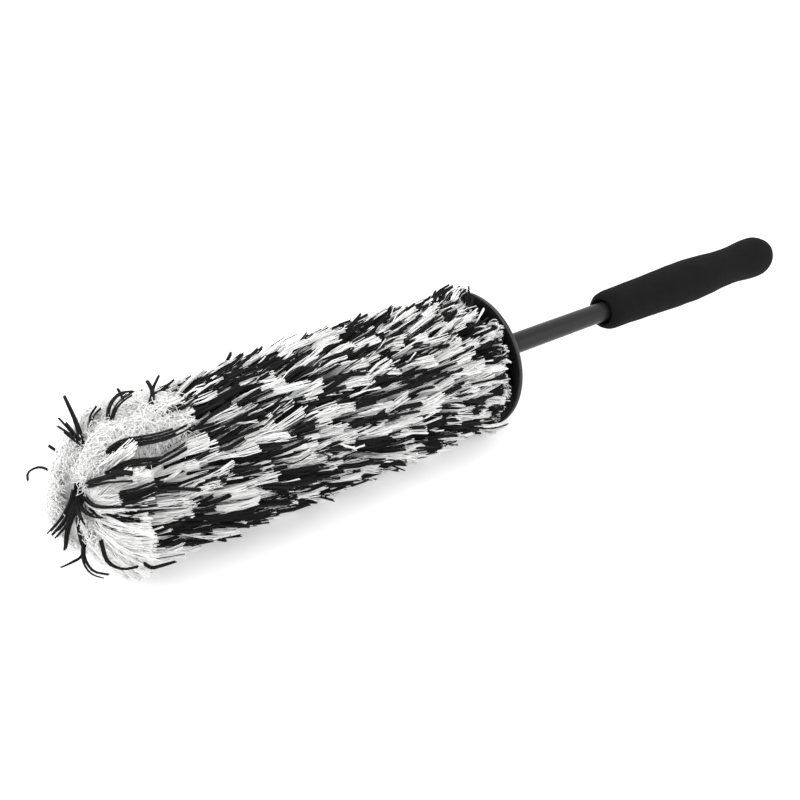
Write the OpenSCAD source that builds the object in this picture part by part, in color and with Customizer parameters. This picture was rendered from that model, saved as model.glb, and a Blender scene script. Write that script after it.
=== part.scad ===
// Wheel brush: a long shaggy microfibre head on a straight shaft with a foam grip.
// Every piece is turned about one axis, which lies along +X with the grip at its positive end.
// Stations along the axis are measured from the plane of the guard's rim, and the head's side is negative.

/* [Shaft] */
// Outer diameter of the shaft tube
shaft_d = 11; // [9:0.5:14]
// Wall of the shaft tube
shaft_wall = 1.2; // [0.8:0.1:1.8]
// Bare length of the shaft, from the guard's rim to the grip
shaft_bare = 102.5; // [60:0.5:200]
// Depth of the plug in the shaft's end
plug_depth = 14; // [8:0.5:20]
// Thickness of the plug's flange
plug_flange = 2; // [1:0.5:3]

/* [Grip] */
// Length of the foam grip
grip_length = 167; // [130:1:220]
// Diameter behind the rounded front edge
grip_front_d = 22.6; // [20:0.2:28]
// Diameter of the swell that fills the palm
grip_swell_d = 26; // [22:0.2:32]
// Distance from the grip's front to the swell
grip_swell_at = 81; // [65:1:95]
// Diameter of the waist for the little finger
grip_waist_d = 23; // [20:0.2:28]
// Distance from the bulb to the waist
grip_waist_gap = 28; // [20:1:36]
// Diameter of the bulb that stops the hand at the end
grip_bulb_d = 25.8; // [22:0.2:32]
// Length of the front edge's rounding
grip_nose = 8; // [5:0.5:12]
// Width of the open ring between the shaft and the mouth of the grip's bore
mouth_gap = 1.8; // [1:0.1:2.5]
// Depth of the wide mouth of the grip's bore
mouth_depth = 7; // [3:0.5:12]
// Solid foam behind the shaft's end
grip_end_wall = 12; // [8:0.5:16]

/* [Guard] */
// Outer diameter of the guard
guard_d = 70; // [62:0.5:76]
// Wall of the guard
guard_wall = 1.8; // [1.4:0.1:3.2]
// Depth of the guard's dish, which opens towards the head
guard_depth = 5.5; // [3:0.5:8]
// Diameter of the rounded bead along the rim
bead_d = 2; // [1.6:0.1:4]
// How far the guard's flat web reaches beyond the hub's flange
web_margin = 1; // [0.5:0.1:3]
// Length of the collar behind the guard
collar_length = 13; // [8:0.5:20]
// Length of the collar's tapered end
collar_taper = 4.3; // [2:0.1:7]
// Wall of the collar where it meets the guard
collar_wall = 4; // [3:0.1:6]
// Wall of the collar at its thin end
collar_lip = 1.2; // [0.8:0.1:2]

/* [Head core] */
// Diameter of the foam former inside the cover
former_d = 38; // [30:0.5:44]
// Length of the hub's flange, which the cover's hem grips
flange_length = 12; // [8:0.5:16]
// Wall of the hub's barrel round the shaft
barrel_wall = 3.5; // [2.5:0.1:5]
// Length of the hub's barrel
barrel_length = 20; // [14:0.5:30]
// Diameter of the rod inside the head
rod_d = 10; // [8:0.2:12]
// Length of the rod's spigot inside the tube
spigot_length = 40; // [25:1:60]
// Diameter of the cross pin
pin_d = 2.5; // [2:0.1:3]
// Thickness of the washer behind the nose cap
washer_t = 1.5; // [1:0.1:2.5]
// Diameter of the washer
washer_d = 26; // [20:0.5:28]
// Length of the nose cap
cap_length = 22; // [18:0.5:30]
// Corner radius of the nose cap
cap_corner = 14; // [8:0.5:16]
// Diameter of the screw's thread in the nose
screw_d = 4; // [3:0.5:5]
// Diameter of the screw's head
screw_head_d = 8; // [7:0.5:10]
// Height of the screw's head
screw_head_h = 3; // [2:0.2:4]
// How deep the screw's head is sunk in the nose cap
screw_sink = 3; // [1:0.5:5]
// Length of the screw under its head
screw_length = 30; // [25:1:40]

/* [Cover] */
// Length of the head from the guard's rim to the sewn end of the cover
head_length = 204; // [150:1:260]
// Diameter of the pile at its fullest
pile_d = 73; // [66:0.5:80]
// How much lower the pile stands beside the guard than at its fullest
pile_neck_drop = 5; // [1:0.5:8]
// How much lower the pile stands where the rounded end begins
pile_tip_drop = 3; // [0:0.5:6]
// Height of the pile beyond the sewn end
pile_end = 8; // [5:0.5:12]
// Length over which the pile swells from the guard to its fullest
pile_neck_length = 34; // [20:1:50]
// Length of the pile's rounded end
pile_round = 26; // [20:1:32]
// How far the pile is pressed flat underneath where the brush lies on it
pile_press = 1.3; // [1:0.1:2.5]
// Thickness of the knitted backing
backing_t = 1.2; // [0.8:0.1:2]
// Loose fit between the cover and the core
cover_gap = 0.5; // [0.4:0.1:1]
// Width of the hem
hem_width = 7; // [5:0.5:8]
// Thickness of the hem
hem_t = 3.4; // [3:0.1:4]
// Diameter of the elastic cord in the hem
elastic_d = 1.8; // [1.4:0.1:2]
// Distance from the hem's front edge to the middle of the elastic
elastic_inset = 2.5; // [1.6:0.1:2.6]
// Thickness of the tape under the elastic
elastic_floor = 0.6; // [0.4:0.1:0.8]
// Distance from the hem's back edge to its stitches
stitch_inset = 1.4; // [0.8:0.1:1.4]
// Length of the sewn seam across the end
seam_length = 24; // [18:0.5:28]
// Thickness of the seam's two folded edges
seam_t = 2.4; // [1.8:0.1:3]
// Height of the seam's folded edges
seam_height = 3.5; // [2.5:0.1:5]
// Number of stitches along the seam
seam_stitches = 7; // [5:1:9]
// Number of stitches around the hem
hem_stitches = 32; // [20:1:40]
// Thickness of the sewing thread
thread_d = 0.6; // [0.4:0.1:0.8]
// Number of lengthwise bands of black tufts
black_bands = 9; // [7:2:11]
// Width of a band of black tufts
band_width = 9; // [6:0.5:11]

/* [Fits] */
// Radial clearance of pieces that slide into each other when the brush is put together
slip = 0.05; // [0.02:0.01:0.1]
// Space between the cover's hem or pile and the guard
guard_gap = 1.2; // [0.8:0.1:2]

/* [Hidden] */
$fn = 96;
ARC_STEPS = 10;
CURVE_STEPS = 12;
EPS = 0.01;

shaft_r = shaft_d / 2;
bore_r = shaft_r - shaft_wall;
former_r = former_d / 2;
web_r = former_r + web_margin;
barrel_r = shaft_r + slip + barrel_wall;
pile_r = pile_d / 2;
pile_neck_r = pile_r - pile_neck_drop;
pile_tip_r = pile_r - pile_tip_drop;
axis_height = max(pile_r - pile_press, guard_d / 2);

// Stations along the axis
grip_from = shaft_bare;
grip_to = grip_from + grip_length;
tube_to = grip_to - grip_end_wall - plug_flange;
web_head_face = guard_depth;
web_grip_face = web_head_face + guard_wall;
flange_to = web_head_face - flange_length;
barrel_to = flange_to - barrel_length;
cap_to = -(head_length - backing_t - cover_gap);
cap_from = cap_to + cap_length;
former_to = cap_from + washer_t;
rod_to = cap_from + washer_t;
screw_seat = cap_to + screw_sink + screw_head_h;
pin_at = (flange_to + barrel_to) / 2;
pile_to = -(head_length + pile_end);
overall_mid = (grip_to + pile_to) / 2;

// Cover
backing_in_r = former_r + cover_gap;
backing_out_r = backing_in_r + backing_t;
hem_out_r = backing_in_r + hem_t;
hem_from = guard_floor(hem_out_r) - guard_gap;
hem_to = hem_from - hem_width;
pile_from = min(hem_to, guard_floor(pile_neck_r) - guard_gap);
cap_round = min(cap_corner, former_r - screw_head_d / 2 - 1);
cover_corner = cap_round + cover_gap + backing_t;
stitch_line = hem_to + stitch_inset;
groove_w = thread_d + 4 * slip;

// Where the guard's inner face lies at a radius: flat on the web, then a straight flare out to the bead
function guard_floor(r) =
    r <= web_r ? web_head_face
    : web_head_face * (1 - (r - web_r) / (guard_d / 2 - bead_d / 2 - web_r));

// A value that moves smoothly from a to b as t goes from 0 to 1
function ease(a, b, t) = a + (b - a) * (1 - cos(180 * t)) / 2;

// Points of a smooth stretch of outline from [r, x] a to b, without the last
function stretch(a, b, n = CURVE_STEPS) =
    [for (i = [0 : n - 1]) [ease(a.x, b.x, i / n), a.y + (b.y - a.y) * i / n]];

// Puts pieces drawn upwards along Z onto the brush's axis
module on_axis() translate([-overall_mid, 0, axis_height]) rotate([0, 90, 0]) children();

// A cylinder between two stations
module rod(r, from, to) translate([0, 0, min(from, to)]) cylinder(r = r, h = abs(to - from));

// A ring between two stations
module ring(r_out, r_in, from, to) difference() {
    rod(r_out, from, to);
    rod(r_in, max(from, to) + 1, min(from, to) - 1);
}

// A round bar with a rounded closed end at station end and a square end at station open
module bullet(r, open, end, corner) translate([0, 0, end]) rotate_extrude() {
    translate([0, corner]) square([r, open - end - corner]);
    square([r - corner, open - end]);
    intersection() {
        translate([r - corner, corner]) circle(corner);
        square([r, corner]);
    }
}

// The whole pile, pressed flat where the brush lies on it
module pile_body() {
    full_at = pile_from - pile_neck_length;
    tip_at = pile_to + pile_round;
    shoulder = concat(
        stretch([pile_neck_r, pile_from], [pile_r, full_at]),
        stretch([pile_r, full_at], [pile_tip_r, tip_at]),
        [for (i = [0 : ARC_STEPS]) let (a = 90 * i / ARC_STEPS)
            [max(pile_tip_r * cos(a), 0), tip_at - pile_round * sin(a)]]
    );
    intersection() {
        on_axis() difference() {
            rotate_extrude() polygon(concat([[0, pile_from]], shoulder));
            bullet(backing_out_r, pile_from + 1, -head_length, cover_corner);
            end_pocket();
        }
        translate([-overall_mid, 0, 0]) translate([pile_to - 1, -pile_r - 1, 0])
            cube([-pile_to + 2, pile_d + 2, pile_d + 2]);
    }
}

// The valley in the pile that the end seam lies in
module end_pocket()
    translate([-seam_length / 2 - slip, -seam_t / 2 - slip, -head_length - seam_height - slip])
        cube([seam_length + 2 * slip, seam_t + 2 * slip, seam_height + cover_corner]);

// The lengthwise bands where the black tufts grow, with white left along the underside
module black_zones() {
    band_from = pile_from + 1;
    band_to = pile_to + pile_round + 8;
    on_axis() for (i = [0 : black_bands - 1]) rotate(180 / black_bands + i * 360 / black_bands)
        translate([backing_out_r + 3, -band_width / 2, band_to])
            cube([pile_r, band_width, band_from - band_to]);
}

module shaft_tube() color("#33363a") on_axis() difference() {
    rod(shaft_r, barrel_to, tube_to);
    rod(bore_r, barrel_to - 1, tube_to + 1);
    pin_hole();
}

module tube_end_plug() color("#1c1c1e") on_axis() {
    rod(shaft_r, tube_to, tube_to + plug_flange);
    rod(bore_r - slip, tube_to - plug_depth, tube_to + EPS);
}

module grip_sleeve() {
    front_r = grip_front_d / 2;
    bulb_r = grip_bulb_d / 2;
    bulb_at = grip_to - bulb_r - 4;
    waist_at = bulb_at - grip_waist_gap;
    mouth_r = shaft_r + mouth_gap;
    outline = concat(
        [for (i = [0 : ARC_STEPS - 1]) let (a = 90 * i / ARC_STEPS)
            [mouth_r + (front_r - mouth_r) * sin(a), grip_from + grip_nose * (1 - cos(a))]],
        stretch([front_r, grip_from + grip_nose], [grip_swell_d / 2, grip_from + grip_swell_at]),
        stretch([grip_swell_d / 2, grip_from + grip_swell_at], [grip_waist_d / 2, waist_at]),
        stretch([grip_waist_d / 2, waist_at], [bulb_r, bulb_at]),
        [for (i = [0 : ARC_STEPS]) let (a = 90 * i / ARC_STEPS)
            [max(bulb_r * cos(a), 0), bulb_at + (grip_to - bulb_at) * sin(a)]]
    );
    color("#161618") on_axis() difference() {
        rotate_extrude() polygon(concat([[0, grip_from]], outline));
        rod(mouth_r, grip_from - 1, grip_from + mouth_depth);
        rod(shaft_r + slip, grip_from, tube_to + plug_flange);
    }
}

// A thin dish with a bead along its rim, open towards the head
module guard_disc() {
    bead_r = bead_d / 2;
    flare_r = guard_d / 2 - bead_r;
    color("#0f0f10") on_axis() difference() {
        rotate_extrude() {
            polygon([
                [0, web_head_face], [web_r, web_head_face], [flare_r, 0],
                [flare_r, guard_wall], [web_r, web_grip_face], [0, web_grip_face]
            ]);
            translate([flare_r, guard_wall / 2]) circle(bead_r);
        }
        rod(shaft_r + slip, -guard_depth, web_grip_face + 1);
    }
}

module guard_collar() color("#141416") on_axis() translate([0, 0, web_grip_face]) rotate_extrude() {
    bore = shaft_r + slip;
    polygon([
        [bore, 0], [bore + collar_wall, 0], [bore + collar_wall, collar_length - collar_taper],
        [bore + collar_lip, collar_length], [bore, collar_length]
    ]);
}

module guard_hub() color("#26262a") on_axis() difference() {
    union() {
        rod(former_r, web_head_face, flange_to);
        rod(barrel_r, flange_to + EPS, barrel_to);
    }
    rod(shaft_r + slip, web_head_face + 1, barrel_to - 1);
    pin_hole();
}

// The cross hole for the pin, halfway along the hub's barrel
module pin_hole() translate([0, 0, pin_at]) rotate([90, 0, 0])
    cylinder(d = pin_d, h = 2 * barrel_r + 2, center = true);

module cross_pin() color("#b8babd") on_axis() translate([0, 0, pin_at]) rotate([90, 0, 0])
    cylinder(d = pin_d - 2 * slip, h = 2 * barrel_r - 4 * slip, center = true);

module core_rod() color("#d9d6cc") on_axis() difference() {
    union() {
        rod(bore_r - slip, barrel_to - EPS, barrel_to + spigot_length);
        rod(rod_d / 2, barrel_to, rod_to);
    }
    pin_hole();
    rod(screw_d / 2 - slip, rod_to - 1, rod_to + screw_length);
}

module foam_former() color("#3b3d40") on_axis() difference() {
    rod(former_r, flange_to, former_to);
    rod(barrel_r + slip, flange_to + 1, barrel_to);
    rod(rod_d / 2 + slip, barrel_to + 1, former_to - 1);
}

module former_washer() color("#c9cbcf") on_axis()
    ring(washer_d / 2, screw_d / 2 + slip, former_to - washer_t, former_to);

// A round-ended rubber cap that keeps the rod's end off the wheel
module nose_cap() color("#202024") on_axis() difference() {
    bullet(former_r, cap_from, cap_to, cap_round);
    rod(screw_d / 2 + slip, cap_to - 1, cap_from + 1);
    rod(screw_head_d / 2 + slip, cap_to - 1, screw_seat);
}

module nose_screw() color("#b8babd") on_axis() {
    difference() {
        rod(screw_head_d / 2, screw_seat - screw_head_h, screw_seat);
        translate([0, 0, screw_seat - screw_head_h - EPS])
            cylinder(d = screw_head_d * 0.45, h = screw_head_h / 2, $fn = 6);
    }
    rod(screw_d / 2 - 2 * slip, screw_seat - EPS, screw_seat + screw_length);
}

module cover_backing() color("#e9e7e2") on_axis() difference() {
    bullet(backing_out_r, hem_to, -head_length, cover_corner);
    bullet(backing_in_r, hem_to + 1, cap_to - cover_gap, cap_round + cover_gap);
}

// Tape folded over the cover's mouth, with a channel for the elastic
module hem_binding() color("#18181a") on_axis() difference() {
    ring(hem_out_r, backing_in_r, hem_from, hem_to);
    elastic_loop(elastic_d + 2 * slip);
    translate([0, 0, stitch_line - groove_w / 2]) difference() {
        rod(hem_out_r + 1, 0, groove_w);
        rod(hem_out_r - groove_w, -1, groove_w + 1);
    }
}

module elastic_loop(d) translate([0, 0, hem_from - elastic_inset]) rotate_extrude()
    translate([backing_in_r + elastic_floor + slip + elastic_d / 2, 0]) circle(d = d, $fn = 24);

module hem_elastic() color("#f2f0ea") on_axis() elastic_loop(elastic_d);

// Short straight stitches in a groove round the hem
module hem_stitching() color("#8c8c90") on_axis() {
    pitch = 2 * PI * hem_out_r / hem_stitches;
    for (i = [0 : hem_stitches - 1]) rotate(i * 360 / hem_stitches)
        translate([hem_out_r - groove_w / 2, 0, stitch_line]) rotate([90, 0, 0])
            cylinder(d = thread_d, h = pitch * 0.6, center = true, $fn = 16);
}

// The folded edges of the cover's closed end, which reach down to its rounded corner
module end_seam() color("#242426") on_axis() difference() {
    translate([-seam_length / 2, -seam_t / 2, -head_length - seam_height])
        cube([seam_length, seam_t, seam_height + cover_corner]);
    bullet(backing_out_r, hem_to, -head_length, cover_corner);
    seam_threads(thread_d + 2 * slip);
}

module seam_threads(d) {
    pitch = seam_length / seam_stitches;
    for (i = [0 : seam_stitches - 1])
        translate([(i - (seam_stitches - 1) / 2) * pitch, 0, -head_length - seam_height / 2])
            rotate([90, 0, 0]) cylinder(d = d, h = seam_t, center = true, $fn = 16);
}

module seam_stitching() color("#2a2a2c") on_axis() seam_threads(thread_d);

module white_pile() color("#f1f0ec") difference() {
    pile_body();
    black_zones();
}

module black_pile() color("#1a1a1c") intersection() {
    pile_body();
    black_zones();
}

shaft_tube();
tube_end_plug();
grip_sleeve();
guard_disc();
guard_collar();
guard_hub();
cross_pin();
core_rod();
foam_former();
former_washer();
nose_cap();
nose_screw();
cover_backing();
hem_binding();
hem_elastic();
hem_stitching();
end_seam();
seam_stitching();
white_pile();
black_pile();
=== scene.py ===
"""A wheel brush: shaggy microfibre cover, dished guard, satin shaft and foam grip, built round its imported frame."""

import bpy
import numpy as np
from bpy.props import FloatProperty, FloatVectorProperty, IntProperty, PointerProperty
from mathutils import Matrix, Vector


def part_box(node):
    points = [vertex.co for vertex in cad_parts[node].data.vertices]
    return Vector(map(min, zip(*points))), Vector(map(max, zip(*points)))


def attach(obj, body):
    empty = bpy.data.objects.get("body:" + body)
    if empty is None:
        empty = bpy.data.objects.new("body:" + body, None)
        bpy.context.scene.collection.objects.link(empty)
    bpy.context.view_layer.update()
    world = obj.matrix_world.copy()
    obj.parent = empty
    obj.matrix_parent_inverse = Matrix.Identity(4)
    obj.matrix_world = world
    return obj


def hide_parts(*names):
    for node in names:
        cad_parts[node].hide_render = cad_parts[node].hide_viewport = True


bl_info = {
    "name": "Wheel brush",
    "version": (1, 0, 0),
    "blender": (4, 5, 0),
    "location": "View3D > Sidebar > Wheel brush",
    "description": "Builds a microfibre wheel brush piece by piece",
    "category": "Object",
}

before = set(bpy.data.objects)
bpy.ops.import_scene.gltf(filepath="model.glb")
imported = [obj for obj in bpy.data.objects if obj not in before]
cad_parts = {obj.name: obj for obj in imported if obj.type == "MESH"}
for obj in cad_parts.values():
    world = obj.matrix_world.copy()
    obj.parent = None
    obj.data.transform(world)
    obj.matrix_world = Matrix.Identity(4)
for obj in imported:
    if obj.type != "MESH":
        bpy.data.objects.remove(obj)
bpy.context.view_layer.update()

MM = 0.001
AXIS = np.array([1.0, 0.0, 0.0])
BODY_HANDLE = "handle"
BODY_COVER = "cover"


# Sizes read from the frame -------------------------------------------------------------------------

def span(node, axis):
    """Lowest and highest coordinate of a node along one axis."""
    low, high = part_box(node)
    return low[axis], high[axis]


AXIS_Z = sum(span("shaft_tube", 2)) / 2
TO_AXIS = np.array([0, 0, AXIS_Z])
BACKING_END, BACKING_MOUTH = span("cover_backing", 0)
GRIP_FROM, GRIP_TO = span("grip_sleeve", 0)
HEM_BACK, HEM_FRONT = span("hem_binding", 0)
PILE_FROM = span("white_pile", 0)[1]


def radius(node):
    """Radius of a round node, from its width across the axis."""
    low, high = span(node, 1)
    return (high - low) / 2


SHAFT_R = radius("shaft_tube")
BACKING_R = radius("cover_backing")
BACKING_WALL = 1.2 * MM
BACKING_IN_R = BACKING_R - BACKING_WALL
HEM_R = radius("hem_binding")
FORMER_R = radius("foam_former")
GUARD_R = radius("guard_disc")
PILE_R = radius("white_pile")
HEM_GROOVE = HEM_BACK + 1.4 * MM
THREAD_R = 0.28 * MM


# Settings ------------------------------------------------------------------------------------------

def length_setting(name, description, default):
    """A setting in metres."""
    return FloatProperty(name=name, description=description, default=default, unit="LENGTH")


def colour_setting(name, description, default):
    """A setting that is a colour."""
    return FloatVectorProperty(name=name, description=description, default=default, subtype="COLOR")


class PileSettings(bpy.types.PropertyGroup):
    """Sizes and colours of the microfibre pile."""

    row_gap: length_setting("Row spacing", "Distance between rows of tufts along the head", 3.8 * MM)
    columns: IntProperty(name="Tufts per row", description="Tufts round the cover in each row", default=38, min=12)
    strands: IntProperty(name="Strands", description="Strands in a tuft 5 mm wide", default=21, min=8)
    strand_d: length_setting("Strand thickness", "Thickness of one strand of yarn", 0.44 * MM)
    black_share: FloatProperty(
        name="Black share", description="Share of the tufts that are black", default=0.65, min=0, max=1,
        subtype="FACTOR")
    white: colour_setting("White", "Colour of the white microfibre", (0.93, 0.93, 0.92))
    black: colour_setting("Black", "Colour of the black microfibre", (0.0115, 0.0115, 0.012))
    seed: IntProperty(name="Seed", description="Start of the random draws", default=5)


class HandleSettings(bpy.types.PropertyGroup):
    """Sizes and colours of the handle's pieces."""

    foam: colour_setting("Foam", "Colour of the foam grip", (0.0045, 0.0045, 0.005))
    shaft: colour_setting("Shaft", "Colour of the shaft's coating", (0.012, 0.0122, 0.013))
    rubber: colour_setting("Rubber", "Colour of the guard's rubber", (0.007, 0.007, 0.0075))
    pit: length_setting("Foam unevenness", "Depth of the soft dents in the foam", 0.14 * MM)


class StageSettings(bpy.types.PropertyGroup):
    """Camera, floor and lights."""

    azimuth: FloatProperty(name="Azimuth", description="Camera's turn about the vertical, degrees", default=-40.53)
    elevation: FloatProperty(name="Elevation", description="Camera's height above level, degrees", default=26.1)
    stand: FloatVectorProperty(
        name="Camera place", description="Camera's place from the centre of the guard's rim",
        default=(-0.3242, -0.3256, 0.2022), subtype="TRANSLATION", unit="LENGTH")
    lens: FloatProperty(name="Lens", description="Focal length in millimetres", default=45.0)
    floor: colour_setting("Floor", "Colour of the floor", (0.62, 0.62, 0.62))
    glow: FloatProperty(name="Glow", description="Light that the floor gives off, as a light table does", default=0.42)
    floor_size: length_setting("Floor size", "Width of the floor", 24.0)


# Mesh tools ----------------------------------------------------------------------------------------

def faced_out(verts, faces):
    """Turns all faces round if the volume that they enclose comes out negative."""
    volume = 0.0
    for f in faces:
        for k in range(1, f.shape[1] - 1):
            volume += (verts[f[:, 0]] * np.cross(verts[f[:, k]], verts[f[:, k + 1]])).sum()
    return faces if volume > 0 else [f[:, ::-1] for f in faces]


def placed(name, data):
    """A new object in the scene."""
    obj = bpy.data.objects.new(name, data)
    bpy.context.scene.collection.objects.link(obj)
    return obj


def new_object(name, verts, faces, body, material):
    """A mesh object from whole arrays: verts is (n, 3); faces is a list of (m, k) index arrays, k corners each."""
    mesh = bpy.data.meshes.new(name)
    faces = faced_out(verts, faces)
    counts = np.concatenate([np.full(len(f), f.shape[1]) for f in faces])
    corners = np.concatenate([f.ravel() for f in faces])
    mesh.vertices.add(len(verts))
    mesh.vertices.foreach_set("co", np.ascontiguousarray(verts, np.float32).ravel())
    mesh.loops.add(len(corners))
    mesh.loops.foreach_set("vertex_index", corners.astype(np.int32))
    mesh.polygons.add(len(counts))
    mesh.polygons.foreach_set("loop_start", (np.cumsum(counts) - counts).astype(np.int32))
    mesh.polygons.foreach_set("use_smooth", np.full(len(counts), True))
    mesh.update(calc_edges=True)
    mesh.validate()
    obj = placed(name, mesh)
    mesh.materials.append(material)
    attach(obj, body)
    return obj


def put_attribute(obj, name, values):
    """Stores one number per point, for the material to read."""
    layer = obj.data.attributes.new(name, "FLOAT", "POINT")
    layer.data.foreach_set("value", np.ascontiguousarray(values, np.float32).ravel())


def grid_faces(rows, columns, loop=False):
    """Quads of a grid of points whose last column joins its first; with loop its last row joins its first too."""
    r, c = np.meshgrid(np.arange(rows if loop else rows - 1), np.arange(columns), indexing="ij")
    n, up = (c + 1) % columns, (r + 1) % rows
    return np.stack([r * columns + c, r * columns + n, up * columns + n, up * columns + c], -1).reshape(-1, 4)


def closed_faces(rows, columns):
    """Faces of a grid whose first and last rows are each closed by one face."""
    first = np.arange(columns)[None, ::-1]
    return [grid_faces(rows, columns), first, (rows - 1) * columns + np.arange(columns)[None]]


def round_axis(x, r, a):
    """Points at x along the brush's axis, r out from it and a round it: y = r cos a, z = r sin a above the axis."""
    return np.stack([x, r * np.cos(a), AXIS_Z + r * np.sin(a)], -1)


def turned(profile, segments, push=None):
    """A profile of (x, r) points turned about the brush's axis over even angles a, as one list of points.

    push(x, r, a), where given, is added to r."""
    a = np.linspace(0, 2 * np.pi, segments, endpoint=False)
    x, r = profile[:, 0, None] + 0 * a, profile[:, 1, None] + 0 * a
    if push:
        r = r + push(x, r, a)
    return round_axis(x, r, a).reshape(-1, 3)


def joined(points, gap):
    """Points (x, r) at most a gap apart along the straight lines through some corners."""
    rows = []
    for a, b in zip(points, points[1:]):
        steps = max(int(np.hypot(b[0] - a[0], b[1] - a[1]) / gap), 1)
        t = np.linspace(0, 1, steps, endpoint=False)[:, None]
        rows.append(np.array(a) * (1 - t) + np.array(b) * t)
    return np.concatenate([*rows, np.array(points[-1:])])


def unit(v):
    """Vectors scaled to length one."""
    return v / np.maximum(np.linalg.norm(v, axis=-1, keepdims=True), 1e-12)


def spokes(angle):
    """Unit vectors straight out from the axis and round it, at some angles."""
    c, s = np.cos(angle), np.sin(angle)
    return np.stack([0 * angle, c, s], -1), np.stack([0 * angle, -s, c], -1)


def ease(a, b, t):
    """Half a cosine wave from a to b as t goes from 0 to 1, level on both sides."""
    return a + (b - a) * (1 - np.cos(np.pi * np.clip(t, 0, 1))) / 2


class Waves:
    """A smooth random field over two numbers: the sum of a few dozen plane waves of random direction and phase."""

    def __init__(self, rng, scale, count=40):
        self.k = rng.normal(size=(count, 2)) * 2 / np.asarray(scale)
        self.phase = rng.uniform(0, 2 * np.pi, count)

    def __call__(self, p, q):
        flat = np.asarray(p)[..., None] * self.k[:, 0] + np.asarray(q)[..., None] * self.k[:, 1]
        return np.cos(flat + self.phase).sum(-1) * np.sqrt(2 / len(self.phase))


# Materials -----------------------------------------------------------------------------------------

def group(name, inputs, outputs):
    """A new shader node group with named sockets; returns it with its input and output nodes."""
    tree = bpy.data.node_groups.new(name, "ShaderNodeTree")
    for label, default in inputs:
        socket = tree.interface.new_socket(label, in_out="INPUT", socket_type="NodeSocketFloat")
        socket.default_value = default
    for label, kind in outputs:
        tree.interface.new_socket(label, in_out="OUTPUT", socket_type=kind)
    return tree, tree.nodes.new("NodeGroupInput"), tree.nodes.new("NodeGroupOutput")


def set_inputs(node, values):
    """Sets a node's inputs by name and returns the node."""
    for label, value in values.items():
        node.inputs[label].default_value = value
    return node


def add_node(tree, kind, **values):
    """A new shader node with some of its inputs set."""
    return set_inputs(tree.nodes.new("ShaderNode" + kind), values)


def wire(tree, *runs):
    """Links nodes, each run given as a node, its output, the next node and its input."""
    for start, output, end, given in runs:
        tree.links.new(start.outputs[output], end.inputs[given])


def mottle_group():
    """Uneven tone and fine grain: two noises of different size, mixed into one mask and one bumped normal."""
    tree, given, result = group(
        "Mottle", [("Large", 60.0), ("Fine", 900.0), ("Depth", 0.0004), ("Mix", 0.5)],
        [("Mask", "NodeSocketFloat"), ("Normal", "NodeSocketVector")])
    coords = add_node(tree, "TexCoord")
    large = add_node(tree, "TexNoise", Detail=3)
    fine = add_node(tree, "TexNoise", Detail=4, Roughness=0.65)
    both, bump = add_node(tree, "Mix"), add_node(tree, "Bump")
    wire(
        tree,
        (coords, "Object", large, "Vector"), (given, "Large", large, "Scale"),
        (coords, "Object", fine, "Vector"), (given, "Fine", fine, "Scale"),
        (given, "Mix", both, "Factor"), (large, "Fac", both, "A"), (fine, "Fac", both, "B"),
        (given, "Depth", bump, "Distance"), (fine, "Fac", bump, "Height"),
        (both, "Result", result, "Mask"), (bump, "Normal", result, "Normal"))
    return tree


MOTTLE = mottle_group()


def mottled(tree, large, fine, depth, mix=0.5):
    """The mottle group placed in a material."""
    node = add_node(tree, "Group")
    node.node_tree = MOTTLE
    return set_inputs(node, {"Large": large, "Fine": fine, "Depth": depth, "Mix": mix})


def new_material(name, roughness, specular=0.5, sheen=0.0, metallic=0.0):
    """A material with one Principled shader; returns the material, its node tree and the shader."""
    material = bpy.data.materials.new(name)
    material.use_nodes = True
    shader = set_inputs(material.node_tree.nodes["Principled BSDF"], {
        "Roughness": roughness, "Specular IOR Level": specular, "Sheen Weight": sheen, "Sheen Roughness": 0.5,
        "Metallic": metallic})
    return material, material.node_tree, shader


def ramp(tree, fac, colours, low=0.3, high=0.7):
    """A colour ramp between two colours, over a range of fac."""
    node = add_node(tree, "ValToRGB")
    for element, place, shade in zip(node.color_ramp.elements, (low, high), colours):
        element.position = place
        element.color = (*shade, 1)
    tree.links.new(fac, node.inputs["Fac"])
    return node.outputs["Color"]


def surface_material(name, colour, spread, roughness, large, fine, depth, mix=0.5, **shader_values):
    """A moulded, woven or metal surface: mottled colour, roughness that varies with it, and a fine grain."""
    material, tree, shader = new_material(name, roughness[0], **shader_values)
    mottle = mottled(tree, large, fine, depth, mix)
    shades = [tuple(min(c * k, 1) for c in colour) for k in (1 - spread, 1 + spread)]
    tree.links.new(ramp(tree, mottle.outputs["Mask"], shades), shader.inputs["Base Color"])
    uneven = set_inputs(add_node(tree, "MapRange"), {"To Min": roughness[0], "To Max": roughness[1]})
    wire(
        tree, (mottle, "Mask", uneven, "Value"), (uneven, "Result", shader, "Roughness"),
        (mottle, "Normal", shader, "Normal"))
    return material


def yarn_material(name, colour, dark, light, roughness, specular, sheen, through):
    """Microfibre yarn: tone per strand from its own attribute, broken by a fine noise, and a soft sheen.

    A share through of the light passes into the fibre and out again, as it does in fine white hair."""
    material, tree, shader = new_material(name, roughness, specular=specular, sheen=sheen)
    set_inputs(shader, {
        "Subsurface Weight": through, "Subsurface Radius": (1, 1, 1), "Subsurface Scale": 0.0015})
    tone = add_node(tree, "Attribute")
    tone.attribute_name = "tone"
    mottle, blend = mottled(tree, 420.0, 2600.0, 0.00012), add_node(tree, "Mix", Factor=0.3)
    wire(tree, (tone, "Fac", blend, "A"), (mottle, "Mask", blend, "B"), (mottle, "Normal", shader, "Normal"))
    shades = [tuple(c * k for c in colour) for k in (dark, light)]
    tree.links.new(ramp(tree, blend.outputs["Result"], shades, 0.1, 0.9), shader.inputs["Base Color"])
    return material


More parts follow.
